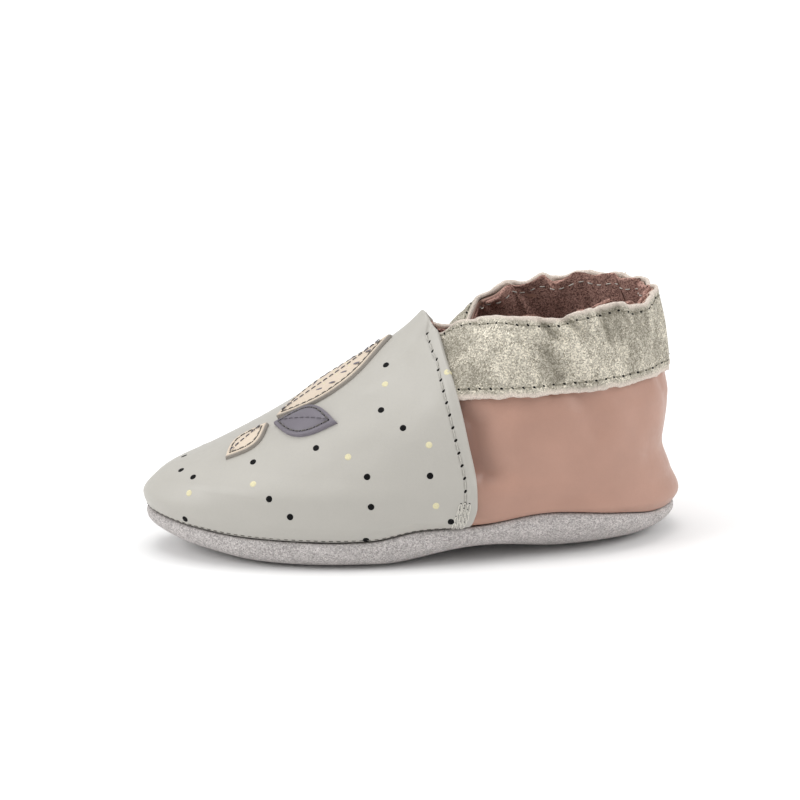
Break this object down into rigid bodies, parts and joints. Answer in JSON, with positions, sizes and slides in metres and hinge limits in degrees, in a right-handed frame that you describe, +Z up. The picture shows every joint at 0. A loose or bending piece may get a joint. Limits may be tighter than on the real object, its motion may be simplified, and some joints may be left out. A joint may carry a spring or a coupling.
{
  "type": "leather slipper",
  "caption": "Soft child's slipper: curled suede sole, leather upper with a vamp laid over its front, and a gathered collar cuff.",
  "frame": {"origin": "on the floor under the middle of the shoe's bounding box", "axes": "+X from toe to heel, -Y the outer side of the foot, +Z up"},
  "size_m": [0.1299, 0.0583, 0.0604],
  "materials": {
    "sole_suede": "light grey suede, napped, fully matt",
    "lining_suede": "mauve brown suede side, matt",
    "quarter_leather": "dusty pink smooth soft leather, satin",
    "vamp_leather": "pale warm grey smooth leather, satin, with small printed dots",
    "cuff_suede": "champagne gold foiled suede, speckled, slightly metallic",
    "leaf_cream": "cream suede-backed leather, matt",
    "leaf_slate": "slate grey leather, matt"
  },
  "bodies": {
    "root": {"outsole": "sole_suede", "insole": "lining_suede", "upper": "quarter_leather", "vamp": "vamp_leather", "cuff": "cuff_suede", "leaf_long": "leaf_cream", "leaf_side": "leaf_cream", "leaf_dark": "leaf_slate"}
  },
  "joints": []
}
